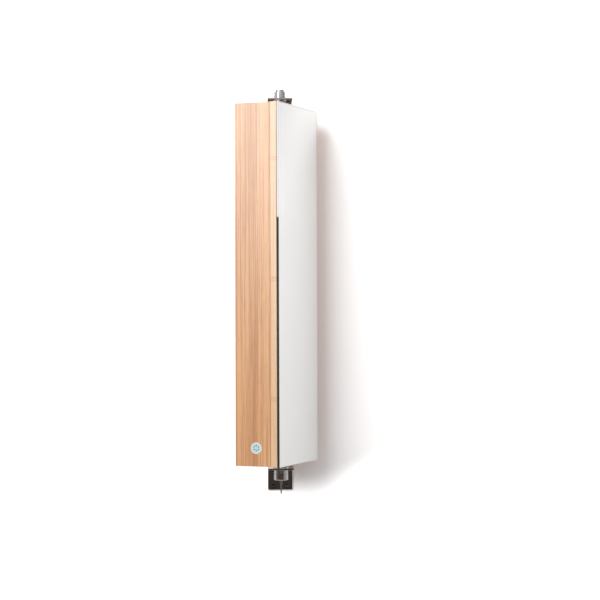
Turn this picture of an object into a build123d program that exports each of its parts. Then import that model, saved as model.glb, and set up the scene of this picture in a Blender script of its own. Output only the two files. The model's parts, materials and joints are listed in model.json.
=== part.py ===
# Slim revolving mirror cabinet, hung between two wall brackets.
# Millimetres. +Z is up, the wall is the plane Y = 0 and the room is towards -Y.
# The origin is the centre of the lower bracket's four wall screw holes, on the wall.
# The cabinet turns about an upright axis, and is drawn turned, with its left side to the room.
import os
from math import cos, radians, sin

from build123d import *

os.makedirs("parts", exist_ok=True)

# Overall cabinet, mirror included
cabinet_height = 850.0
cabinet_width = 250.0
cabinet_depth = 111.0

# Boards and glass
glass_thickness = 5.0
glass_bevel = 0.4
tape_thickness = 1.0
tape_width = 20.0
tape_length = 790.0
tape_spacing = 58.0
tape_count = 4
front_board_thickness = 16.0
side_board_thickness = 12.0
end_board_thickness = 16.0
shelf_thickness = 10.0
shelf_depth = 78.0
shelf_play = 0.4
shelf_count = 4
carcass_inset = 1.0
board_edge_radius = 0.8

# Pivot axis
turn_at_rest = 67.0
wall_distance = 150.0
axis_behind_mirror = 47.0
shaft_radius = 6.0
shaft_chamfer = 1.0
running_clearance = 0.04
washer_play = 0.3
ball_play = 0.05

# Wall brackets
bracket_width = 60.0
bracket_thickness = 4.0
bracket_drop = 67.0
bracket_reach = 30.0
bend_radius = 3.0
bracket_corner_radius = 1.0
bracket_edge_radius = 0.5
sleeve_radius = 10.0
wall_hole_radius = 2.5
wall_countersink_radius = 5.0
wall_hole_spacing = 34.0
wall_hole_margin = 8.5
gap_under_cabinet = 11.0
gap_over_cabinet = 15.5

# Fittings on the two pivots
plate_size = (70.0, 48.0)
plate_thickness = 3.0
plate_corner_radius = 4.0
steel_chamfer = 0.4
plate_screw_spacing = (54.0, 32.0)
plate_screw_radius = 2.0
plate_screw_head_radius = 4.0
plate_screw_length = 16.0
recess_length = 4.6
recess_width = 0.9
recess_depth = 1.4
bush_radius = 8.0
bush_flange_radius = 11.0
bush_flange_height = 1.5
upper_bush_height = 11.0
lower_bush_length = 18.0
boss_radius = 13.0
boss_height = 9.5
boss_chamfer = 1.0
spindle_collar_radius = 10.0
spindle_collar_height = 3.0
spindle_foot_gap = 1.5
sleeve_flange_radius = 18.0
sleeve_flange_height = 2.5
thrust_washer_radius = 15.0
lower_nut_radius = 17.0
lower_washer_height = 2.0
lower_nut_height = 9.0
lower_cup_height = 14.3
lower_cup_floor = 4.0
ball_radius = 4.0
ball_seat_height = 1.0
sleeve_end_gap = 1.0
cup_edge_radius = 1.5
tail_thread_radius = 4.0
tail_top_radius = 3.7
tail_tip_radius = 1.5
tail_taper_height = 21.0
tail_height = 33.0
upper_collar_radius = 15.0
upper_collar_height = 2.0
upper_nut_radius = 14.0
upper_washer_height = 2.0
upper_nut_height = 5.0
cap_radius = 13.4
cap_height = 9.8
cap_top_radius = 10.4
cap_top_height = 5.2
cap_edge_radius = 1.2
cap_top_edge_radius = 1.6
ring_groove_depth = 0.9
ring_groove_height = 1.0

# Small parts in the boards
side_dowel_radius = 4.0
side_dowel_in_side = 8.0
side_dowel_in_end = 22.0
side_dowel_spacing = 49.0
front_dowel_radius = 3.0
front_dowel_in_board = 10.0
front_dowel_in_side = 20.0
front_dowel_count = 4
front_dowel_spacing = 250.0
dowel_chamfer = 0.6
shelf_pin_radius = 2.5
shelf_pin_head_radius = 3.5
shelf_pin_reach = 7.0
shelf_pin_spacing = 56.0
pin_hole_pitch = 32.0
rail_radius = 2.5
rail_end = 5.0
rail_height = 28.0
rail_inset = 6.0
small_chamfer = 0.4
label_radius = 13.5
label_thickness = 0.3
label_height = 44.0
label_behind_mirror = 58.5

# Heights, from the lower screw holes up
bracket_bottom = -(wall_hole_spacing / 2 + wall_hole_margin)
lower_leg_top = bracket_bottom + bracket_drop
lower_leg_bottom = lower_leg_top - bracket_thickness
cabinet_bottom = lower_leg_top + gap_under_cabinet
cabinet_top = cabinet_bottom + cabinet_height
upper_leg_bottom = cabinet_top + gap_over_cabinet
upper_leg_top = upper_leg_bottom + bracket_thickness
carcass_bottom = cabinet_bottom + carcass_inset
carcass_top = cabinet_top - carcass_inset
carcass_height = carcass_top - carcass_bottom
inner_bottom = carcass_bottom + end_board_thickness
inner_top = carcass_top - end_board_thickness
cabinet_middle = (cabinet_bottom + cabinet_top) / 2

# Depths in the cabinet, from the pivot axis: negative towards the mirror, positive to the open back
mirror_face = -axis_behind_mirror
glass_back = mirror_face + glass_thickness
board_front = glass_back + tape_thickness
board_back = board_front + front_board_thickness
open_back = mirror_face + cabinet_depth
carcass_depth = open_back - board_back
carcass_middle = (board_back + open_back) / 2
inner_width = cabinet_width - 2 * side_board_thickness

# Directions of the turned cabinet
turn = radians(turn_at_rest)
width_direction = Vector(cos(turn), sin(turn), 0)
depth_direction = Vector(-sin(turn), cos(turn), 0)
axis_foot = Vector(0, -wall_distance, 0)
pivot_axis = Axis((0, -wall_distance, 0), (0, 0, 1))

# Plane through the pivot axis, whose x is the distance from the axis and whose y is the height
axial = Plane(origin=(0, -wall_distance, 0), x_dir=(1, 0, 0), z_dir=(0, -1, 0))


def level(height):
    """Level plane on the pivot axis: x across the turned cabinet, y towards its open back."""
    return Plane(origin=axis_foot + Vector(0, 0, height), x_dir=width_direction, z_dir=(0, 0, 1))


def across(offset):
    """Upright plane square to the cabinet's width: x towards the open back, y is the height."""
    return Plane(origin=axis_foot + width_direction * offset, x_dir=depth_direction, z_dir=width_direction)


def facing(depth):
    """Upright plane square to the cabinet's depth: x across the width, y is the height."""
    return Plane(origin=axis_foot + depth_direction * depth, x_dir=width_direction, z_dir=-depth_direction)


def save(part, name):
    """Labels a finished piece and writes its file."""
    part.label = name
    export_step(part, f"parts/{name}.step")


def ringed_profile(inner, outer, bottom, top, grooves):
    """Half section of a ring round the pivot axis, outer edges broken, with grooves round its outside."""
    Polygon(
        (inner, bottom),
        (outer - steel_chamfer, bottom),
        (outer, bottom + steel_chamfer),
        (outer, top - steel_chamfer),
        (outer - steel_chamfer, top),
        (inner, top),
        align=None,
    )
    pitch = (top - bottom) / (grooves + 1)
    for number in range(1, grooves + 1):
        with Locations((outer, bottom + pitch * number)):
            Rectangle(2 * ring_groove_depth, ring_groove_height, mode=Mode.SUBTRACT)


# Mirror glass, bevelled round its front edges
with BuildPart() as mirror_glass:
    with BuildSketch(facing(glass_back)):
        with Locations((0, cabinet_middle)):
            Rectangle(cabinet_width, cabinet_height)
    extrude(amount=glass_thickness)
    chamfer(mirror_glass.faces().sort_by(Axis(axis_foot, depth_direction))[0].edges(), glass_bevel)
save(mirror_glass.part, "mirror_glass")

# Adhesive strips between the glass and the front board
with BuildPart() as mirror_tape:
    with BuildSketch(facing(board_front)):
        with Locations((0, cabinet_middle)):
            with GridLocations(tape_spacing, 0, tape_count, 1):
                Rectangle(tape_width, tape_length)
    extrude(amount=tape_thickness)
save(mirror_tape.part, "mirror_tape")

# Dowels run from the front board back into the front edges of the side boards
side_middle = (cabinet_width - side_board_thickness) / 2
front_dowel_length = front_dowel_in_board + front_dowel_in_side
front_dowel_middle = board_back + (front_dowel_in_side - front_dowel_in_board) / 2
with BuildPart(facing(front_dowel_middle)) as front_board_dowels:
    with Locations((0, cabinet_middle)):
        with GridLocations(2 * side_middle, front_dowel_spacing, 2, front_dowel_count):
            Cylinder(front_dowel_radius, front_dowel_length)
    chamfer(front_board_dowels.edges().filter_by(GeomType.CIRCLE), dowel_chamfer)
save(front_board_dowels.part, "front_board_dowels")

# Front board, which carries the mirror and stands a little proud of the carcass at both ends
with BuildPart() as front_board:
    with BuildSketch(facing(board_back)):
        with Locations((0, cabinet_middle)):
            Rectangle(cabinet_width, cabinet_height)
    extrude(amount=front_board_thickness)
    fillet(front_board.edges(), board_edge_radius)
    with BuildSketch(facing(board_back)):
        with Locations((0, cabinet_middle)):
            with GridLocations(2 * side_middle, front_dowel_spacing, 2, front_dowel_count):
                Circle(front_dowel_radius)
    extrude(amount=front_dowel_in_board, mode=Mode.SUBTRACT)
save(front_board.part, "front_board")

# Heights of the shelves' undersides, and of the surfaces that things stand on
bay_height = (inner_top - inner_bottom - shelf_count * shelf_thickness) / (shelf_count + 1)
shelf_bottoms = [
    inner_bottom + bay_height + number * (bay_height + shelf_thickness) for number in range(shelf_count)
]
standing_heights = [inner_bottom] + [bottom + shelf_thickness for bottom in shelf_bottoms]

# Places of the small parts on a side board, as depth and height
end_board_middles = [carcass_bottom + end_board_thickness / 2, carcass_top - end_board_thickness / 2]
side_dowel_depths = [carcass_middle - side_dowel_spacing / 2, carcass_middle + side_dowel_spacing / 2]
side_dowel_places = [(depth, height) for depth in side_dowel_depths for height in end_board_middles]
shelf_middle = board_back + shelf_depth / 2
shelf_pin_depths = [shelf_middle - shelf_pin_spacing / 2, shelf_middle + shelf_pin_spacing / 2]
shelf_pin_heights = [bottom - shelf_pin_head_radius for bottom in shelf_bottoms]
shelf_pin_places = [(depth, height) for depth in shelf_pin_depths for height in shelf_pin_heights]
pin_hole_heights = [height + step * pin_hole_pitch for height in shelf_pin_heights for step in (-1, 0, 1)]
pin_hole_places = [(depth, height) for depth in shelf_pin_depths for height in pin_hole_heights]
rail_depth = open_back - rail_inset
rail_places = [(rail_depth, height + rail_height) for height in standing_heights]
front_dowel_heights = [
    cabinet_middle + front_dowel_spacing * (number - (front_dowel_count - 1) / 2)
    for number in range(front_dowel_count)
]

# Side boards: blind holes in the inner face for dowels, rails and shelf pins, with a spare hole
# above and below each pin so that a shelf can be moved
for name, side in (("left_side_panel", -1), ("right_side_panel", 1)):
    inner_face = across(side * inner_width / 2)
    with BuildPart() as side_panel:
        with BuildSketch(inner_face):
            with Locations((carcass_middle, cabinet_middle)):
                Rectangle(carcass_depth, carcass_height)
        extrude(amount=side * side_board_thickness)
        fillet(side_panel.edges(), board_edge_radius)
        with BuildSketch(inner_face):
            with Locations(*side_dowel_places):
                Circle(side_dowel_radius)
        extrude(amount=side * side_dowel_in_side, mode=Mode.SUBTRACT)
        with BuildSketch(inner_face):
            with Locations(*pin_hole_places):
                Circle(shelf_pin_radius)
        extrude(amount=side * shelf_pin_reach, mode=Mode.SUBTRACT)
        with BuildSketch(inner_face):
            with Locations(*rail_places):
                Circle(rail_radius)
        extrude(amount=side * rail_end, mode=Mode.SUBTRACT)
        with BuildSketch(facing(board_back)):
            with Locations(*[(side * side_middle, height) for height in front_dowel_heights]):
                Circle(front_dowel_radius)
        extrude(amount=-front_dowel_in_side, mode=Mode.SUBTRACT)
    save(side_panel.part, name)

# Top and bottom boards between the sides, with dowel holes in their ends and screw pilots outside
for name, bottom, outer, inward in (
    ("bottom_panel", carcass_bottom, carcass_bottom, 1),
    ("top_panel", inner_top, carcass_top, -1),
):
    with BuildPart() as end_panel:
        with BuildSketch(level(bottom)):
            with Locations((0, carcass_middle)):
                Rectangle(inner_width, carcass_depth)
        extrude(amount=end_board_thickness)
        fillet(end_panel.faces().sort_by(Axis(axis_foot, depth_direction))[-1].edges(), board_edge_radius)
        for side in (-1, 1):
            with BuildSketch(across(side * inner_width / 2)):
                with Locations(*[(depth, bottom + end_board_thickness / 2) for depth in side_dowel_depths]):
                    Circle(side_dowel_radius)
            extrude(amount=-side * side_dowel_in_end, mode=Mode.SUBTRACT)
        with BuildSketch(level(outer)):
            with GridLocations(*plate_screw_spacing, 2, 2):
                Circle(plate_screw_radius)
        extrude(amount=inward * (plate_screw_length - plate_thickness), mode=Mode.SUBTRACT)
    save(end_panel.part, name)

# Dowels between the side boards and the top and bottom boards
side_dowel_length = side_dowel_in_side + side_dowel_in_end
side_dowel_offset = inner_width / 2 + (side_dowel_in_side - side_dowel_in_end) / 2
with BuildPart(across(-side_dowel_offset), across(side_dowel_offset)) as side_dowels:
    with Locations(*side_dowel_places):
        Cylinder(side_dowel_radius, side_dowel_length)
    chamfer(side_dowels.edges().filter_by(GeomType.CIRCLE), dowel_chamfer)
save(side_dowels.part, "side_dowels")

# Loose shelves on pins
for number, bottom in enumerate(shelf_bottoms, start=1):
    with BuildPart() as shelf:
        with BuildSketch(level(bottom)):
            with Locations((0, shelf_middle + shelf_play / 2)):
                Rectangle(inner_width - 2 * shelf_play, shelf_depth - shelf_play)
        extrude(amount=shelf_thickness)
        fillet(shelf.edges(), board_edge_radius)
    save(shelf.part, f"shelf_{number}")

# Shelf pins, each with a thicker head that the shelf rests on
with BuildPart() as shelf_pins:
    for side in (-1, 1):
        with BuildSketch(across(side * inner_width / 2)):
            with Locations(*shelf_pin_places):
                Circle(shelf_pin_radius)
        extrude(amount=side * shelf_pin_reach)
        with BuildSketch(across(side * inner_width / 2)):
            with Locations(*shelf_pin_places):
                Circle(shelf_pin_head_radius)
        extrude(amount=-side * shelf_pin_reach)
    head_edges = shelf_pins.edges().filter_by(GeomType.CIRCLE)
    head_edges = head_edges.filter_by(lambda edge: edge.radius > shelf_pin_radius)
    chamfer(head_edges, small_chamfer)
save(shelf_pins.part, "shelf_pins")

# Round rails that keep things on the shelves while the cabinet turns
for number, place in enumerate(rail_places, start=1):
    with BuildPart(across(0)) as shelf_rail:
        with Locations(place):
            Cylinder(rail_radius, inner_width + 2 * rail_end)
        chamfer(shelf_rail.edges().filter_by(GeomType.CIRCLE), small_chamfer)
    save(shelf_rail.part, f"shelf_rail_{number}")

# Thin round label low on the left side
with BuildPart() as round_label:
    with BuildSketch(across(-cabinet_width / 2)):
        with Locations((mirror_face + label_behind_mirror, cabinet_bottom + label_height)):
            Circle(label_radius)
    extrude(amount=-label_thickness)
save(round_label.part, "round_label")

# The two wall brackets are the same bent steel strap, with the upright leg hanging down the wall
bracket_front = -(wall_distance + bracket_reach)
for name, leg_top in (("lower_wall_bracket", lower_leg_top), ("upper_wall_bracket", upper_leg_top)):
    leg_bottom = leg_top - bracket_thickness
    strap_bottom = leg_top - bracket_drop
    with BuildPart() as wall_bracket:
        with BuildSketch(Plane.YZ) as strap:
            with BuildLine():
                Polyline(
                    (0, strap_bottom),
                    (0, leg_top),
                    (bracket_front, leg_top),
                    (bracket_front, leg_bottom),
                    (-bracket_thickness, leg_bottom),
                    (-bracket_thickness, strap_bottom),
                    close=True,
                )
            make_face()
            fillet(strap.vertices().sort_by_distance((0, leg_top))[0], bend_radius + bracket_thickness)
            fillet(strap.vertices().sort_by_distance((-bracket_thickness, leg_bottom))[0], bend_radius)
        extrude(amount=bracket_width / 2, both=True)
        fillet(wall_bracket.edges().filter_by(Axis.Z).group_by(Axis.Y)[0], bracket_corner_radius)
        fillet(wall_bracket.edges().filter_by(Axis.Y).group_by(Axis.Z)[0], bracket_corner_radius)
        fillet(wall_bracket.edges(), bracket_edge_radius)
        with BuildSketch(level(leg_top)):
            Circle(sleeve_radius)
        extrude(amount=-bracket_thickness, mode=Mode.SUBTRACT)
        with Locations(Plane.XZ.offset(bracket_thickness)):
            with Locations((0, strap_bottom + wall_hole_margin + wall_hole_spacing / 2)):
                with GridLocations(wall_hole_spacing, wall_hole_spacing, 2, 2):
                    CounterSinkHole(wall_hole_radius, wall_countersink_radius, depth=bracket_thickness)
    save(wall_bracket.part, name)

# Upper pivot, cabinet side: a plate with a boss that holds a flanged bush
upper_boss_top = carcass_top + plate_thickness + boss_height
with BuildPart() as upper_pivot_plate:
    with BuildSketch(level(carcass_top)):
        RectangleRounded(*plate_size, plate_corner_radius)
    extrude(amount=plate_thickness)
    chamfer(upper_pivot_plate.faces().sort_by(Axis.Z)[-1].edges(), steel_chamfer)
    with BuildSketch(level(carcass_top)):
        Circle(boss_radius)
    extrude(amount=plate_thickness + boss_height)
    chamfer(upper_pivot_plate.faces().sort_by(Axis.Z)[-1].edges(), boss_chamfer)
    with BuildSketch(level(carcass_top)):
        Circle(bush_radius)
    extrude(amount=plate_thickness + boss_height, mode=Mode.SUBTRACT)
    with Locations(level(carcass_top + plate_thickness)):
        with GridLocations(*plate_screw_spacing, 2, 2):
            CounterSinkHole(plate_screw_radius, plate_screw_head_radius, depth=plate_thickness)
save(upper_pivot_plate.part, "upper_pivot_plate")

with BuildPart() as upper_bush:
    with BuildSketch(axial):
        with BuildLine():
            Polyline(
                (shaft_radius + running_clearance, upper_boss_top - upper_bush_height),
                (bush_radius, upper_boss_top - upper_bush_height),
                (bush_radius, upper_boss_top),
                (bush_flange_radius, upper_boss_top),
                (bush_flange_radius, upper_boss_top + bush_flange_height),
                (shaft_radius + running_clearance, upper_boss_top + bush_flange_height),
                close=True,
            )
        make_face()
    revolve(axis=pivot_axis)
save(upper_bush.part, "upper_bush")

# Upper pivot, bracket side: a spindle clamped in the bracket by a washer, a ringed nut and a cap nut
upper_washer_top = upper_leg_top + upper_washer_height
upper_nut_top = upper_washer_top + upper_nut_height
spindle_foot = carcass_top + spindle_foot_gap
upper_thread_top = upper_nut_top + cap_height
with BuildPart() as upper_spindle:
    with BuildSketch(axial) as spindle_section:
        with BuildLine():
            Polyline(
                (0, spindle_foot),
                (shaft_radius - shaft_chamfer, spindle_foot),
                (shaft_radius, spindle_foot + shaft_chamfer),
                (shaft_radius, upper_leg_bottom - upper_collar_height),
                (upper_collar_radius, upper_leg_bottom - upper_collar_height),
                (upper_collar_radius, upper_leg_bottom),
                (sleeve_radius, upper_leg_bottom),
                (sleeve_radius, upper_thread_top),
                (0, upper_thread_top),
                close=True,
            )
        make_face()
        collar_foot = (upper_collar_radius, upper_leg_bottom - upper_collar_height)
        chamfer(spindle_section.vertices().sort_by_distance(collar_foot)[0], steel_chamfer)
    revolve(axis=pivot_axis)
save(upper_spindle.part, "upper_spindle")

with BuildPart() as upper_washer:
    with BuildSketch(axial):
        ringed_profile(sleeve_radius, upper_nut_radius, upper_leg_top, upper_washer_top, grooves=0)
    revolve(axis=pivot_axis)
save(upper_washer.part, "upper_washer")

with BuildPart() as upper_lock_nut:
    with BuildSketch(axial):
        ringed_profile(sleeve_radius, upper_nut_radius, upper_washer_top, upper_nut_top, grooves=1)
    revolve(axis=pivot_axis)
save(upper_lock_nut.part, "upper_lock_nut")

cap_top = upper_thread_top + cap_top_height
with BuildPart() as upper_cap_nut:
    with BuildSketch(axial) as cap_section:
        with BuildLine():
            Polyline(
                (sleeve_radius, upper_nut_top),
                (cap_radius, upper_nut_top),
                (cap_radius, upper_thread_top),
                (cap_top_radius, upper_thread_top),
                (cap_top_radius, cap_top),
                (0, cap_top),
                (0, upper_thread_top),
                (sleeve_radius, upper_thread_top),
                close=True,
            )
        make_face()
        fillet(cap_section.vertices().sort_by_distance((cap_radius, upper_thread_top))[0], cap_edge_radius)
        fillet(cap_section.vertices().sort_by_distance((cap_top_radius, cap_top))[0], cap_top_edge_radius)
    revolve(axis=pivot_axis)
save(upper_cap_nut.part, "upper_cap_nut")

# Lower pivot, cabinet side: a plate with a spindle that hangs from it
with BuildPart() as lower_pivot_plate:
    with BuildSketch(level(carcass_bottom)):
        RectangleRounded(*plate_size, plate_corner_radius)
    extrude(amount=-plate_thickness)
    chamfer(lower_pivot_plate.faces().sort_by(Axis.Z)[0].edges(), steel_chamfer)
    with BuildSketch(level(carcass_bottom)):
        Circle(shaft_radius)
    extrude(amount=-plate_thickness, mode=Mode.SUBTRACT)
    with Locations(Plane(level(carcass_bottom - plate_thickness).origin, width_direction, (0, 0, -1))):
        with GridLocations(*plate_screw_spacing, 2, 2):
            CounterSinkHole(plate_screw_radius, plate_screw_head_radius, depth=plate_thickness)
save(lower_pivot_plate.part, "lower_pivot_plate")

lower_plate_bottom = carcass_bottom - plate_thickness
spindle_collar_bottom = lower_plate_bottom - spindle_collar_height
lower_washer_bottom = lower_leg_bottom - lower_washer_height
lower_cup_top = lower_washer_bottom - lower_nut_height
lower_cup_bottom = lower_cup_top - lower_cup_height
ball_bottom = lower_cup_bottom + lower_cup_floor + ball_seat_height
spindle_tip = ball_bottom + 2 * ball_radius + ball_play
with BuildPart() as lower_spindle:
    with BuildSketch(axial):
        with BuildLine():
            Polyline(
                (0, spindle_tip),
                (shaft_radius - shaft_chamfer, spindle_tip),
                (shaft_radius, spindle_tip + shaft_chamfer),
                (shaft_radius, spindle_collar_bottom),
                (spindle_collar_radius, spindle_collar_bottom),
                (spindle_collar_radius, lower_plate_bottom),
                (shaft_radius, lower_plate_bottom),
                (shaft_radius, carcass_bottom),
                (0, carcass_bottom),
                close=True,
            )
        make_face()
    revolve(axis=pivot_axis)
save(lower_spindle.part, "lower_spindle")

# Lower pivot, bracket side: a flanged sleeve through the bracket, with a bush inside
sleeve_top = lower_leg_top + sleeve_flange_height
sleeve_bottom = ball_bottom + sleeve_end_gap
with BuildPart() as lower_sleeve:
    with BuildSketch(axial) as sleeve_section:
        with BuildLine():
            Polyline(
                (bush_radius, sleeve_bottom),
                (sleeve_radius, sleeve_bottom),
                (sleeve_radius, lower_leg_top),
                (sleeve_flange_radius, lower_leg_top),
                (sleeve_flange_radius, sleeve_top),
                (bush_radius, sleeve_top),
                close=True,
            )
        make_face()
        flange_edge = sleeve_section.vertices().sort_by_distance((sleeve_flange_radius, sleeve_top))[0]
        chamfer(flange_edge, steel_chamfer)
    revolve(axis=pivot_axis)
save(lower_sleeve.part, "lower_sleeve")

with BuildPart() as lower_bush:
    with BuildSketch(level(sleeve_top)):
        Circle(bush_radius)
        Circle(shaft_radius + running_clearance, mode=Mode.SUBTRACT)
    extrude(amount=-lower_bush_length)
save(lower_bush.part, "lower_bush")

with BuildPart() as lower_thrust_washer:
    with BuildSketch(axial):
        ringed_profile(
            shaft_radius + running_clearance,
            thrust_washer_radius,
            sleeve_top,
            spindle_collar_bottom - washer_play,
            grooves=0,
        )
    revolve(axis=pivot_axis)
save(lower_thrust_washer.part, "lower_thrust_washer")

# Below the bracket: washer, ringed lock nut, and a cup that closes the sleeve
with BuildPart() as lower_washer:
    with BuildSketch(axial):
        ringed_profile(sleeve_radius, lower_nut_radius, lower_washer_bottom, lower_leg_bottom, grooves=0)
    revolve(axis=pivot_axis)
save(lower_washer.part, "lower_washer")

with BuildPart() as lower_lock_nut:
    with BuildSketch(axial):
        ringed_profile(sleeve_radius, lower_nut_radius, lower_cup_top, lower_washer_bottom, grooves=2)
    revolve(axis=pivot_axis)
save(lower_lock_nut.part, "lower_lock_nut")

with BuildPart() as lower_cup:
    with BuildSketch(axial) as cup_section:
        with BuildLine():
            Polyline(
                (tail_thread_radius, lower_cup_bottom),
                (lower_nut_radius, lower_cup_bottom),
                (lower_nut_radius, lower_cup_top),
                (sleeve_radius, lower_cup_top),
                (sleeve_radius, lower_cup_bottom + lower_cup_floor),
                (tail_thread_radius, lower_cup_bottom + lower_cup_floor),
                close=True,
            )
        make_face()
        cup_foot = cup_section.vertices().sort_by_distance((lower_nut_radius, lower_cup_bottom))[0]
        cup_rim = cup_section.vertices().sort_by_distance((lower_nut_radius, lower_cup_top))[0]
        fillet(cup_foot, cup_edge_radius)
        chamfer(cup_rim, steel_chamfer)
    revolve(axis=pivot_axis)
save(lower_cup.part, "lower_cup")

# The adjusting screw carries the ball on its top, and ends in a slim tapered tail
with BuildPart() as lower_adjusting_screw:
    with BuildSketch(axial):
        with BuildLine():
            Polyline(
                (0, lower_cup_bottom - tail_height),
                (tail_tip_radius, lower_cup_bottom - tail_height),
                (tail_tip_radius, lower_cup_bottom - tail_taper_height),
                (tail_top_radius, lower_cup_bottom),
                (tail_thread_radius, lower_cup_bottom),
                (tail_thread_radius, ball_bottom),
                (0, ball_bottom),
                close=True,
            )
        make_face()
    revolve(axis=pivot_axis)
save(lower_adjusting_screw.part, "lower_adjusting_screw")

with BuildPart(level(ball_bottom + ball_radius)) as lower_ball:
    Sphere(ball_radius)
save(lower_ball.part, "lower_ball")

# Countersunk screws of the two pivot plates, with cross recesses
for name, plate_face, inward in (
    ("upper_plate_screws", carcass_top + plate_thickness, -1),
    ("lower_plate_screws", carcass_bottom - plate_thickness, 1),
):
    head_plane = Plane(level(plate_face).origin, width_direction, (0, 0, inward))
    with BuildPart() as plate_screws:
        with BuildSketch(head_plane):
            with GridLocations(*plate_screw_spacing, 2, 2):
                Circle(plate_screw_head_radius)
        extrude(amount=plate_screw_head_radius - plate_screw_radius, taper=45)
        with BuildSketch(head_plane):
            with GridLocations(*plate_screw_spacing, 2, 2):
                Circle(plate_screw_radius)
        extrude(amount=plate_screw_length)
        with BuildSketch(head_plane):
            with GridLocations(*plate_screw_spacing, 2, 2):
                Rectangle(recess_length, recess_width)
                Rectangle(recess_width, recess_length)
        extrude(amount=recess_depth, mode=Mode.SUBTRACT)
    save(plate_screws.part, name)
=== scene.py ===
import json
from math import cos, pi, radians, sin

import bpy
from mathutils import Matrix, Vector


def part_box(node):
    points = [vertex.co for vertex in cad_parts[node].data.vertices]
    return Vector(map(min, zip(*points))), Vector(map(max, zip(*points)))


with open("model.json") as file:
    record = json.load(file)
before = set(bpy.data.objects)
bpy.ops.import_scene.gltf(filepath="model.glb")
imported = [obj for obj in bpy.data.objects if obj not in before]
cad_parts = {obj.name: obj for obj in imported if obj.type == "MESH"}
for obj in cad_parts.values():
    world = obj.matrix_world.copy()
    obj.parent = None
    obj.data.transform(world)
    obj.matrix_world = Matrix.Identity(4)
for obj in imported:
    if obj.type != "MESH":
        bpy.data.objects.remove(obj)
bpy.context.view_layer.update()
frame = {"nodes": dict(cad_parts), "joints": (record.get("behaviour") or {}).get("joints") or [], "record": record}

scene = bpy.context.scene
scene.view_settings.view_transform = "Standard"

# The cabinet's own directions at rest: 0 is its width, 1 its depth and 2 its height
PIVOT = tuple(frame["joints"][0]["pos_m"])
TURN_AT_REST = radians(67)
MIRROR_DIRECTION = (sin(TURN_AT_REST), -cos(TURN_AT_REST), 0)
WIDTH, DEPTH, HEIGHT = range(3)

# Camera, fitted to the cabinet's corners and edges
CAMERA_PLACE = (-0.0702, -4.465, 0.4128)
CAMERA_YAW = radians(1.549)
CAMERA_PITCH = radians(0.381)
CAMERA_ROLL = radians(-0.2)
CAMERA_LENS = 108.378
SENSOR_WIDTH = 36.0

# A fade below is two values and the strength at each, or two values alone where it goes from none to full.

# Bamboo: its nodes, each a pair of lines in a halo, and the strips it is glued up from
NODE_SPACING = 0.28
NODE_LIFT = 0.035
NODE_SEED = 9.35
NODE_BOW = 0.006
NODE_LINE = 0.003
LINE_FADE = (0.0003, 0.0012, 1, 0)
HALO_FADE = (0.002, 0.010, 1, 0)
JOINT_FADE = (0.0001, 0.0004, 1, 0)
PALE_JOINTS = (0.7, 0.88)
PORES = (0.62, 0.74)
STRIP_WAVER = 0.001
BOARD_STEP = 31
TONE_CONTRAST = 0.9
STREAK_CONTRAST = 4.0
FINE_CONTRAST = 2.4
GRAIN_HEIGHT = 0.00025
SIDE_STRIP = 0.00636
FRONT_STRIP = 0.0208
SHELF_STRIP = 0.0195

# Mirror: half its width, and how far in from its top and right edges a darker band starts and is full, a painted
# reflection that stands for the grey line its bevel shows
HALF_WIDTH = 0.125
TOP_PAINTED_REFLECTION = (0.0026, 0.0022)
RIGHT_PAINTED_REFLECTION = (0.0039, 0.00364)

# Round label: the radius of its pale disc, of the ring of dots and of one dot, the print's soft edge,
# and the number of dots
LABEL_FIELD = 0.0105
LABEL_RING = 0.0059
LABEL_DOT = 0.0019
PRINT_EDGE = 0.0002
LABEL_DOTS = 6

# Floor and soft box
FLOOR_HEIGHT = -1.0
FLOOR_SIZE = 8.0
FLOOR_BOUNCE = 0.12
KEY_AZIMUTH = radians(38)
KEY_DISTANCE = 3.4
KEY_HEIGHT = 2.18
KEY_AIM_HEIGHT = 0.44
KEY_SIZE = (2.0, 3.0)
KEY_POWER = 111.0
KEY_COLOUR = (1.0, 0.985, 0.965)

# Wall: its tone, the glow that whitens it away from the shadow, what gloss and the camera see of it, with painted
# shade by height and width, and the shade behind the brackets' plates, with how far in from their edges it is full
# and ends
WALL_GAP = 0.0004
WALL_SIZE = 6.0
WALL_PALE = 0.81
WALL_SEEN_GAIN = 2.55
WALL_LIFT = 0.9
WALL_GRAIN = 0.03
GLOW_MIDDLE = 0.02
GLOW_SLOPE = 0.4
GLOW_SIDES = (0.3, 0.6)
GLOW_TOP = (1.0, 1.2)
GLOW_BOTTOM = (-0.13, -0.01, 1, 0)
GLOSS_LOW = (-0.1, 0.7, 0.86, 0.92)
GLOSS_HIGH = (0.66, 0.96, 1.0, 0.76)
GLOSS_LEFT = (-0.05, 0.0, 0.62, 1.0)
GLOSS_RIGHT = (0.1, 0.32, 0.98, 0.8)
VIEW_HEIGHTS = (0.0, 0.9, 0.93, 1.08)
PLATE_SHADE = 0.93
SHADE_FULL = 0.003
SHADE_END = 0.002

# Studio: the fill by height, and the room that gloss sees, by direction
FILL_STRENGTH = 0.36
FILL_HEIGHTS = (-0.5, 0.6, 0.1, 1.4)
HORIZON = (-0.085, 0.035)
LEFT_PANEL = (-0.93, -0.85, 0.75, 0.0)
FRONT_PANEL = (-0.52, -0.3, 0.0, 0.5)
RIGHT_PANEL = (0.75, 0.97, 0.2, -0.15)
FRONT_WINDOW = (0.08, 0.2, 0.5, 0.0)
BACK_OF_ROOM = (-0.2, 0.05)
RIGHT_OF_ROOM = (0.5, 0.9)
BACK_STRENGTH = 0.6
LOW_LEFT = (-1.0, -0.6, 0.12, 0.0)
LOW_PLAIN = 0.4
LOW_STRENGTH = 0.11
LOW_COLOUR = (1.0, 0.78, 0.58)


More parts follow.
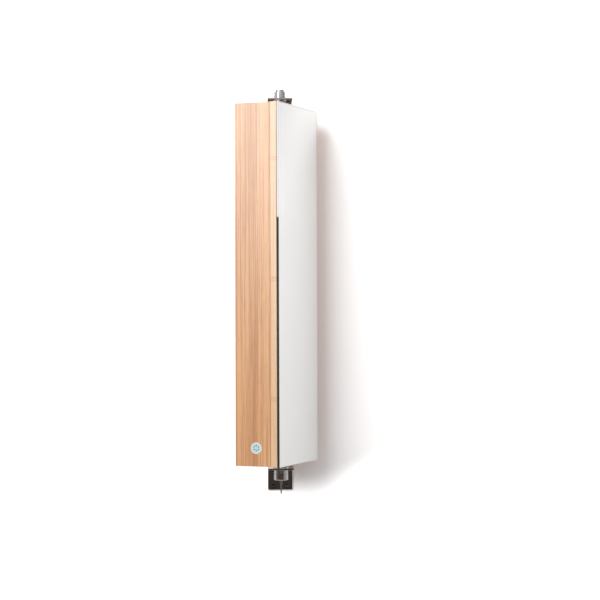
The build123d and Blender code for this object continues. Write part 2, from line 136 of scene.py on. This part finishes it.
class Wire:
    """An output in a node tree. Arithmetic on it adds math nodes."""

    def __init__(self, tree, socket):
        self.tree = tree
        self.socket = socket

    def math(self, operation, *others):
        node = self.tree.nodes.new("ShaderNodeMath")
        node.operation = operation
        return feed(self.tree, node, (self, *others))

    def __add__(self, other):
        return self.math("ADD", other)

    def __sub__(self, other):
        return self.math("SUBTRACT", other)

    def __mul__(self, other):
        return self.math("MULTIPLY", other)

    def __truediv__(self, other):
        return self.math("DIVIDE", other)

    def spread(self, low, high, start=0.0, end=1.0):
        """Goes smoothly from start, where this is at low, to end, where it is at high."""
        node = self.tree.nodes.new("ShaderNodeMapRange")
        node.interpolation_type = "SMOOTHSTEP"
        return feed(self.tree, node, (self, low, high, start, end))

    def random(self, seed):
        """A steady random number from 0 to 1 for each whole number."""
        node = self.tree.nodes.new("ShaderNodeTexWhiteNoise")
        node.noise_dimensions = "1D"
        connect(self.tree, self + seed, node.inputs["W"])
        return Wire(self.tree, node.outputs["Value"])


def connect(tree, value, place):
    """Joins a wire to a node's input, or sets the input's own value."""
    if isinstance(value, Wire):
        tree.links.new(value.socket, place)
    elif place.type == "RGBA":
        place.default_value = (*value, 1.0)
    else:
        place.default_value = value


def feed(tree, node, values):
    """Feeds a node's inputs in their order, and gives its first output."""
    for value, place in zip(values, node.inputs):
        connect(tree, value, place)
    return Wire(tree, node.outputs[0])


class Tree:
    """A node tree, with short ways to add and join its nodes."""

    def __init__(self, owner):
        owner.use_nodes = True
        self.tree = owner.node_tree

    def add(self, kind, output, **inputs):
        """Adds a node, feeds its inputs, and gives one of its outputs."""
        node = self.tree.nodes.new(kind)
        for name, value in inputs.items():
            connect(self.tree, value, node.inputs[name])
        return Wire(self.tree, node.outputs[output])

    def join(self, kind, *values):
        """Adds a node, feeds its inputs in their order, and gives its first output."""
        return feed(self.tree, self.tree.nodes.new(kind), values)

    def split(self, vector):
        """The three numbers of a vector."""
        node = self.tree.nodes.new("ShaderNodeSeparateXYZ")
        connect(self.tree, vector, node.inputs[0])
        return [Wire(self.tree, output) for output in node.outputs]

    def joined(self, wires):
        """One vector from three wires."""
        return self.add("ShaderNodeCombineXYZ", "Vector", **dict(zip("XYZ", wires)))

    def noise(self, vector, scale=1.0, detail=2.0, roughness=0.5):
        inputs = {"Vector": vector, "Scale": scale, "Detail": detail, "Roughness": roughness}
        return self.add("ShaderNodeTexNoise", "Fac", **inputs)

    def ray(self, kind):
        """1 for one kind of ray and 0 for the others."""
        return self.add("ShaderNodeLightPath", f"Is {kind} Ray")

    def seen(self):
        """1 for what the camera sees straight, in gloss or through glass, and 0 for soft light."""
        view, gloss, glass = (self.ray(kind) for kind in ("Camera", "Glossy", "Transmission"))
        return view.math("MAXIMUM", gloss).math("MAXIMUM", glass)

    def mix(self, share, first, second):
        """Goes from the first colour to the second."""
        node = self.tree.nodes.new("ShaderNodeMix")
        node.data_type = "RGBA"
        colours = [place for place in node.inputs if place.type == "RGBA"]
        connect(self.tree, share, node.inputs[0])
        connect(self.tree, first, colours[0])
        connect(self.tree, second, colours[1])
        return Wire(self.tree, [output for output in node.outputs if output.type == "RGBA"][0])


class Surface(Tree):
    """A material round one Principled shader."""

    def __init__(self, name, **settings):
        self.material = bpy.data.materials.new(name)
        super().__init__(self.material)
        self.shader = self.tree.nodes["Principled BSDF"]
        self.set(**settings)

    def set(self, **settings):
        """Feeds or sets the shader's inputs, named in lower case with underscores."""
        places = {place.name.lower().replace(" ", "_"): place for place in self.shader.inputs}
        for name, value in settings.items():
            connect(self.tree, value, places[name])

    def place(self):
        """Where a point of the piece is at rest, in the row frame."""
        return self.add("ShaderNodeTexCoord", "Object")

    def facing(self, direction):
        """How far the surface faces a direction at rest: 1 is straight at it, -1 away from it."""
        node = self.tree.nodes.new("ShaderNodeVectorMath")
        node.operation = "DOT_PRODUCT"
        connect(self.tree, self.add("ShaderNodeTexCoord", "Normal"), node.inputs[0])
        connect(self.tree, direction, node.inputs[1])
        return Wire(self.tree, node.outputs["Value"])

    def turned_place(self, centre, turn=TURN_AT_REST):
        """Three wires: a point's place from a centre, along directions turned about the upright."""
        moved = self.tree.nodes.new("ShaderNodeMapping")
        moved.vector_type = "TEXTURE"
        moved.inputs["Location"].default_value = centre
        moved.inputs["Rotation"].default_value = (0, 0, turn)
        connect(self.tree, self.place(), moved.inputs["Vector"])
        return self.split(Wire(self.tree, moved.outputs[0]))

    def bump(self, height, distance):
        """Raises the surface by height times distance, in metres."""
        self.set(normal=self.add("ShaderNodeBump", "Normal", Height=height, Distance=distance))


def shade(colour, factor):
    """A colour made darker or lighter."""
    return tuple(min(1.0, part * factor) for part in colour)


def bamboo(name, along, across, strip_width, pale, dark, phase, seeds, marks):
    """Laminated bamboo. The fibres run in direction along, and the strips lie side by side in across.

    The seeds give each strip its tone and each joint its pale line, and marks sets how strong the nodes are.
    The two boards to the left and right of the middle have patterns of their own.
    """
    surface = Surface(name, ior=1.75, coat_weight=1.0, coat_ior=1.65, coat_roughness=0.31)
    tone_seed, line_seed = seeds
    local = surface.turned_place(PIVOT)
    waver = surface.noise(surface.joined([wire * (3 if i == along else 40) for i, wire in enumerate(local)]))
    strips = (local[across] + (waver - 0.5) * STRIP_WAVER) / strip_width + phase
    strip = strips.math("FLOOR")
    inside = strips.math("FRACT")
    board = local[WIDTH].spread(-0.01, 0.01) * BOARD_STEP if (along, across) == (HEIGHT, DEPTH) else 0.0
    tone = (strip + board).random(tone_seed)

    def fibres(across_scale, along_scale, detail):
        """Noise drawn out along the fibres, with its own pattern in each strip."""
        stretched = [wire * across_scale for wire in local]
        stretched[along] = local[along] * along_scale + tone * 40
        return surface.noise(surface.joined(stretched), 1.0, detail, 0.6)

    streaks = fibres(330, 2.5, 2)
    fine = fibres(950, 16, 3)
    pores = fibres(2000, 80, 1).spread(*PORES)

    growth = ((local[along] + NODE_LIFT) / NODE_SPACING + strip.random(NODE_SEED)).math("FRACT")
    bow = (inside - 0.5).math("POWER", 2) * NODE_BOW
    from_node = ((growth - 0.5) * NODE_SPACING + bow).math("ABSOLUTE")
    node_lines = (from_node - NODE_LINE).math("ABSOLUTE").spread(*LINE_FADE)
    node_halo = from_node.spread(*HALO_FADE)

    nearest = (strips + 0.5).math("FLOOR")
    from_joint = (strips - nearest).math("ABSOLUTE") * strip_width
    joint = from_joint.spread(*JOINT_FADE)
    pale_line = from_joint.spread(*LINE_FADE) * nearest.random(line_seed).spread(*PALE_JOINTS)

    share = (tone - 0.5) * TONE_CONTRAST + (streaks - 0.5) * STREAK_CONTRAST
    share = share + (fine - 0.5) * FINE_CONTRAST + 0.5
    colour = surface.mix(share, pale, dark)
    colour = surface.mix(pale_line * 0.85, colour, shade(pale, 1.2))
    colour = surface.mix(node_halo * (0.3 * marks), colour, (dark[0], dark[1] * 0.85, dark[2] * 0.7))
    colour = surface.mix(node_lines * (0.5 * marks), colour, (dark[0] * 0.8, dark[1] * 0.6, dark[2] * 0.45))
    colour = surface.mix(pores * 0.25, colour, shade(dark, 0.5))
    colour = surface.mix(joint * 0.15, colour, shade(dark, 0.5))
    surface.set(base_color=colour, roughness=fine * 0.16 + streaks * 0.1 + 0.26)
    surface.bump(fine * 0.5 - joint * 0.5 - node_lines * (0.5 * marks) - pores * 0.3, GRAIN_HEIGHT)
    return surface.material


def silvered_glass():
    """Mirror: a silvered face, darker in a band along its top and right edges as painted reflection of its bevel,
    with dark green polished edges and a painted back.
    """
    surface = Surface("silvered_glass", ior=2.2)
    place = surface.place()
    facing = surface.facing(MIRROR_DIRECTION)
    face = facing.spread(0.5, 0.6)
    back = facing.spread(-0.6, -0.5, 1, 0)
    haze = surface.noise(place, 9, 4)
    specks = surface.noise(place, 700, 1).spread(0.76, 0.84)
    edge = surface.mix(surface.noise(place, 30, 2), (0.012, 0.022, 0.012), (0.035, 0.055, 0.03))
    silver = surface.mix(haze, (0.87, 0.88, 0.87), (0.91, 0.91, 0.905))
    silver = surface.mix(specks * 0.2, silver, (0.6, 0.6, 0.6))
    width, _, height = surface.turned_place(PIVOT)
    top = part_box("mirror_glass")[1].z - PIVOT[2]
    # Painted reflection: the silver is darker in a band along the top and right edges only, standing for the grey
    # line that the bevel reflects.
    painted_edge_reflection = height.spread(*(top - inset for inset in TOP_PAINTED_REFLECTION))
    painted_edge_reflection = painted_edge_reflection.math("MAXIMUM", width.spread(*(HALF_WIDTH - inset for inset in RIGHT_PAINTED_REFLECTION)))
    silver = surface.mix(painted_edge_reflection * 0.8, silver, (0.5, 0.5, 0.49))
    paint = surface.mix(haze, (0.2, 0.23, 0.24), (0.28, 0.3, 0.31))
    colour = surface.mix(face, surface.mix(back, edge, paint), silver)
    polish = haze * 0.012 + specks * 0.1 + 0.004
    surface.set(base_color=colour, metallic=face, roughness=back * 0.5 + polish)
    return surface.material


def foam_tape():
    """Closed-cell foam tape, off-white."""
    surface = Surface("foam_tape", ior=1.45)
    cells = surface.noise(surface.place(), 1800, 2)
    colour = surface.mix(cells, (0.5, 0.5, 0.48), (0.7, 0.7, 0.67))
    surface.set(base_color=colour, roughness=cells * 0.2 + 0.7)
    surface.bump(cells, 0.0002)
    return surface.material


def dowel_wood():
    """Beech, with its grain along the cabinet's width."""
    surface = Surface("dowel_wood", ior=1.45)
    width, depth, height = surface.turned_place(PIVOT)
    grain = surface.noise(surface.joined([width * 60, depth * 500, height * 500]), 1.0, 3)
    colour = surface.mix(grain, (0.62, 0.42, 0.24), (0.45, 0.27, 0.14))
    surface.set(base_color=colour, roughness=grain * 0.2 + 0.5)
    surface.bump(grain, 0.0002)
    return surface.material


def printed_label():
    """White film label with a pale disc and a plain ring of dots."""
    surface = Surface("printed_label", ior=1.45, coat_weight=0.3, coat_roughness=0.15)
    low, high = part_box("round_label")
    _, depth, height = surface.turned_place(tuple((low + high) / 2))
    from_centre = (depth * depth + height * height).math("SQRT")
    turn = height.math("ARCTAN2", depth) / (2 * pi) * LABEL_DOTS
    along_ring = (turn.math("FRACT") - 0.5) * (2 * pi * LABEL_RING / LABEL_DOTS)
    off_ring = from_centre - LABEL_RING
    from_dot = (along_ring * along_ring + off_ring * off_ring).math("SQRT")
    field = from_centre.spread(LABEL_FIELD - PRINT_EDGE, LABEL_FIELD, 1, 0)
    dot = from_dot.spread(LABEL_DOT - PRINT_EDGE, LABEL_DOT, 1, 0)
    print_grain = surface.noise(surface.place(), 2500, 2)
    colour = surface.mix(field, (0.9, 0.91, 0.9), (0.6, 0.86, 0.87))
    colour = surface.mix(dot, colour, (0.08, 0.36, 0.42))
    colour = surface.mix(print_grain * 0.08, colour, (0.45, 0.47, 0.47))
    surface.set(base_color=colour, roughness=print_grain * 0.15 + 0.3)
    surface.bump(print_grain, 0.00004)
    return surface.material


def black_nickel():
    """Dark polished plating on steel, with a faint grain from the polishing wheel and dull smudges."""
    surface = Surface("black_nickel", metallic=1.0)
    x, y, z = surface.turned_place(PIVOT, 0)
    wheel = surface.noise(surface.joined([x * 60, y * 1400, z * 1400]), 1.0, 3, 0.6)
    smudge = surface.noise(surface.place(), 45, 5, 0.6)
    colour = surface.mix(smudge.spread(0.3, 0.75), (0.32, 0.3, 0.3), (0.25, 0.23, 0.235))
    surface.set(base_color=colour, roughness=smudge * 0.08 + wheel * 0.04 + 0.02)
    surface.bump(wheel, 0.00001)
    return surface.material


def turned_metal(name, bright, dull, roughness, grooves):
    """Metal turned on a lathe: fine rings round the pivot axis, and a slight uneven polish."""
    surface = Surface(name, metallic=1.0)
    x, y, z = surface.turned_place(PIVOT, 0)
    from_axis = (x * x + y * y).math("SQRT")
    rings = surface.noise(surface.joined([from_axis * 1800, z * 1800, x * 20]), 1.0, 3, 0.7)
    polish = surface.noise(surface.place(), 160, 3)
    surface.set(
        base_color=surface.mix(polish.spread(0.3, 0.7), bright, dull),
        roughness=rings * roughness * 0.5 + polish * roughness * 0.4 + roughness * 0.5,
    )
    surface.bump(rings, grooves)
    return surface.material


def paint_pieces():
    """Gives each piece the material of its slot in the record, with its grain the way it really runs."""
    # The pale and the dark tone of each bamboo
    side = (0.87, 0.46, 0.205), (0.57, 0.235, 0.075)
    front = (0.93, 0.61, 0.37), (0.8, 0.44, 0.22)
    shelf = front[0], side[1]
    finishes = {
        "mirror": silvered_glass(),
        "bamboo": bamboo("bamboo_sides", HEIGHT, DEPTH, SIDE_STRIP, *side, 4.89, (159.1, 49.2), 0.3),
        "bamboo_front": bamboo("bamboo_front", HEIGHT, WIDTH, FRONT_STRIP, *front, 2.35, (2.35, 60.5), 1.0),
        "bamboo_shelf": bamboo("bamboo_shelves", WIDTH, DEPTH, SHELF_STRIP, *shelf, 7.1, (7.1, 31.7), 0.7),
        "dowel_wood": dowel_wood(),
        "tape": foam_tape(),
        "label": printed_label(),
        "black_steel": black_nickel(),
        "chrome": turned_metal("chrome", (0.52, 0.51, 0.51), (0.46, 0.45, 0.45), 0.06, 0.00001),
        "zinc_steel": turned_metal("zinc_steel", (0.66, 0.68, 0.7), (0.5, 0.52, 0.54), 0.3, 0.00003),
        "dark_steel": turned_metal("dark_steel", (0.2, 0.19, 0.195), (0.13, 0.12, 0.125), 0.3, 0.00003),
        "bronze": turned_metal("bronze", (0.62, 0.42, 0.2), (0.45, 0.28, 0.12), 0.3, 0.00003),
    }
    end_boards = bamboo("bamboo_ends", WIDTH, DEPTH, SIDE_STRIP, *side, 9.6, (9.6, 24.3), 0.3)
    for piece in frame["record"]["subparts"]:
        node = frame["nodes"][piece["node"]]
        node.data.materials.clear()
        if piece["node"] in ("top_panel", "bottom_panel"):
            node.data.materials.append(end_boards)
        else:
            node.data.materials.append(finishes[piece["material_slot"]])


def sheet(name, centre, x_side, y_side):
    """A flat staged rectangle with its corners at centre plus or minus two half sides."""
    centre, x_side, y_side = Vector(centre), Vector(x_side), Vector(y_side)
    corners = [centre + x_side * i + y_side * j for i, j in ((-1, -1), (1, -1), (1, 1), (-1, 1))]
    mesh = bpy.data.meshes.new(name)
    mesh.from_pydata(corners, [], [(0, 1, 2, 3)])
    made = bpy.data.objects.new(name, mesh)
    scene.collection.objects.link(made)
    return made


def wall_glow(tree, x, z):
    """Strength of the light that the camera sees on the wall, away from the cabinet and its shadow."""
    low = z - x * GLOW_SLOPE
    lift = (x - GLOW_MIDDLE).math("ABSOLUTE").spread(*GLOW_SIDES)
    lift = lift.math("MAXIMUM", z.spread(*GLOW_TOP)).math("MAXIMUM", low.spread(*GLOW_BOTTOM))
    return lift * tree.ray("Camera") * WALL_LIFT


def wall_painted_shade(tree, x, z):
    """Painted shade: how much of the wall's tone gloss sees, by height and width, which darkens its reflections in
    the mirror and the metal, and the camera, by height, which deepens the shadow low down and lightens the wall
    high up.
    """
    heights = z.spread(*GLOSS_LOW) * z.spread(*GLOSS_HIGH)
    widths = x.spread(*GLOSS_RIGHT) * x.spread(*GLOSS_LEFT)
    in_gloss = tree.ray("Glossy") * (widths * heights - 1) + 1
    in_view = tree.ray("Camera") * (z.spread(*VIEW_HEIGHTS) - 1) + 1
    return in_gloss * in_view


def plate_shade(x, z):
    """1 on the open wall and little behind the brackets' plates, so that their screw holes look dark."""
    tone = 1.0
    for name in ("lower_wall_bracket", "upper_wall_bracket"):
        first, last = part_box(name)
        middle, reach = (first + last) / 2, (last - first) / 2
        across = (x - middle.x).math("ABSOLUTE").spread(reach.x - SHADE_FULL, reach.x - SHADE_END, 1, 0)
        upright = (z - middle.z).math("ABSOLUTE").spread(reach.z - SHADE_FULL, reach.z - SHADE_END, 1, 0)
        tone = across * upright * -PLATE_SHADE + tone
    return tone


def wall():
    """White wall behind the cabinet. It is see-through from behind, so that the back can be looked at."""
    half = WALL_SIZE / 2
    made = sheet("wall", (0, WALL_GAP, half + FLOOR_HEIGHT), (half, 0, 0), (0, 0, half))
    material = bpy.data.materials.new("wall")
    tree = Tree(material)
    tree.tree.nodes.remove(tree.tree.nodes["Principled BSDF"])
    place = tree.add("ShaderNodeTexCoord", "Object")
    x, _, z = tree.split(place)
    grain = tree.noise(place, 260, 3)
    gain = tree.seen() * (WALL_SEEN_GAIN - 1) + 1
    # The tone carries painted shade by height and width, for gloss and the camera, and the shade behind the
    # brackets' plates.
    pale = (grain * WALL_GRAIN + WALL_PALE) * gain * wall_painted_shade(tree, x, z) * plate_shade(x, z)
    colour = tree.add("ShaderNodeCombineColor", "Color", Red=pale, Green=pale * 0.99, Blue=pale * 0.995)
    plaster = tree.add("ShaderNodeBsdfDiffuse", 0, Color=colour)
    glow = tree.add("ShaderNodeEmission", 0, Color=(1.0, 1.0, 1.0), Strength=wall_glow(tree, x, z))
    front = tree.join("ShaderNodeAddShader", plaster, glow)
    clear = tree.add("ShaderNodeBsdfTransparent", 0)
    from_behind = tree.add("ShaderNodeNewGeometry", "Backfacing")
    sides = tree.join("ShaderNodeMixShader", from_behind, front, clear)
    connect(tree.tree, sides, tree.tree.nodes["Material Output"].inputs[0])
    made.data.materials.append(material)


def floor():
    """Plain pale floor. It throws back less soft light than it shows."""
    half = FLOOR_SIZE / 2
    made = sheet("floor", (0, 0, FLOOR_HEIGHT), (half, 0, 0), (0, half, 0))
    surface = Surface("floor")
    grain = surface.noise(surface.place(), 90, 3)
    pale = surface.mix(grain, (0.78, 0.77, 0.76), (0.82, 0.81, 0.8))
    bounce = surface.mix(grain, (FLOOR_BOUNCE,) * 3, (FLOOR_BOUNCE * 1.1,) * 3)
    surface.set(base_color=surface.mix(surface.seen(), bounce, pale), roughness=grain * 0.1 + 0.6)
    made.data.materials.append(surface.material)


def key_light():
    """One soft box, high on the left in front of the cabinet."""
    data = bpy.data.lights.new("key", "AREA")
    data.shape = "RECTANGLE"
    data.size, data.size_y = KEY_SIZE
    data.energy = KEY_POWER
    data.color = KEY_COLOUR
    lamp = bpy.data.objects.new("key", data)
    direction = Vector((-sin(KEY_AZIMUTH), -cos(KEY_AZIMUTH), 0))
    lamp.location = Vector(PIVOT) + direction * KEY_DISTANCE + Vector((0, 0, KEY_HEIGHT))
    aim = Vector(PIVOT) + Vector((0, 0, KEY_AIM_HEIGHT)) - lamp.location
    lamp.rotation_euler = aim.to_track_quat("-Z", "Y").to_euler()
    scene.collection.objects.link(lamp)


def studio():
    """Soft fill, mostly from above. The background is white, and gloss sees a room with pale panels.

    The room is brown and dark low down in front, and plain grey to the right and at the back.
    """
    world = bpy.data.worlds.new("studio")
    scene.world = world
    tree = Tree(world)
    x, y, z = tree.split(tree.add("ShaderNodeTexCoord", "Generated"))
    raised = z.spread(*HORIZON)
    upper = x.spread(*LEFT_PANEL) + x.spread(*FRONT_PANEL) + x.spread(*RIGHT_PANEL)
    upper = upper + x.math("ABSOLUTE").spread(*FRONT_WINDOW)
    behind = y.spread(*BACK_OF_ROOM)
    plain = behind.math("MAXIMUM", x.spread(*RIGHT_OF_ROOM))
    upper = upper.math("MAXIMUM", behind * BACK_STRENGTH)
    lower = x.spread(*LOW_LEFT) + plain * LOW_PLAIN + LOW_STRENGTH
    gloss = tree.ray("Glossy")
    seen = tree.ray("Camera")
    fill = z.spread(*FILL_HEIGHTS) * FILL_STRENGTH
    room = (upper - lower) * raised + lower
    strength = gloss * (room - fill) + seen * (fill * -1 + 1.0) + fill
    background = tree.tree.nodes["Background"]
    connect(tree.tree, strength, background.inputs["Strength"])
    brown = gloss * (raised * -1 + 1.0) * (plain * -1 + 1.0)
    connect(tree.tree, tree.mix(brown, (1.0, 1.0, 1.0), LOW_COLOUR), background.inputs["Color"])


def camera():
    """Photograph's view: yaw towards +X, pitch up, roll clockwise."""
    data = bpy.data.cameras.new("camera")
    data.lens = CAMERA_LENS
    data.sensor_width = SENSOR_WIDTH
    made = bpy.data.objects.new("camera", data)
    level = cos(CAMERA_PITCH)
    forward = Vector((sin(CAMERA_YAW) * level, cos(CAMERA_YAW) * level, sin(CAMERA_PITCH)))
    right = Vector((cos(CAMERA_YAW), -sin(CAMERA_YAW), 0))
    up = right.cross(forward)
    turned_right = right * cos(CAMERA_ROLL) + up * sin(CAMERA_ROLL)
    turned_up = up * cos(CAMERA_ROLL) - right * sin(CAMERA_ROLL)
    axes = Matrix((turned_right, turned_up, -forward)).transposed()
    made.matrix_world = Matrix.Translation(CAMERA_PLACE) @ axes.to_4x4()
    scene.collection.objects.link(made)
    scene.camera = made


camera()
paint_pieces()
wall()
floor()
key_light()
studio()
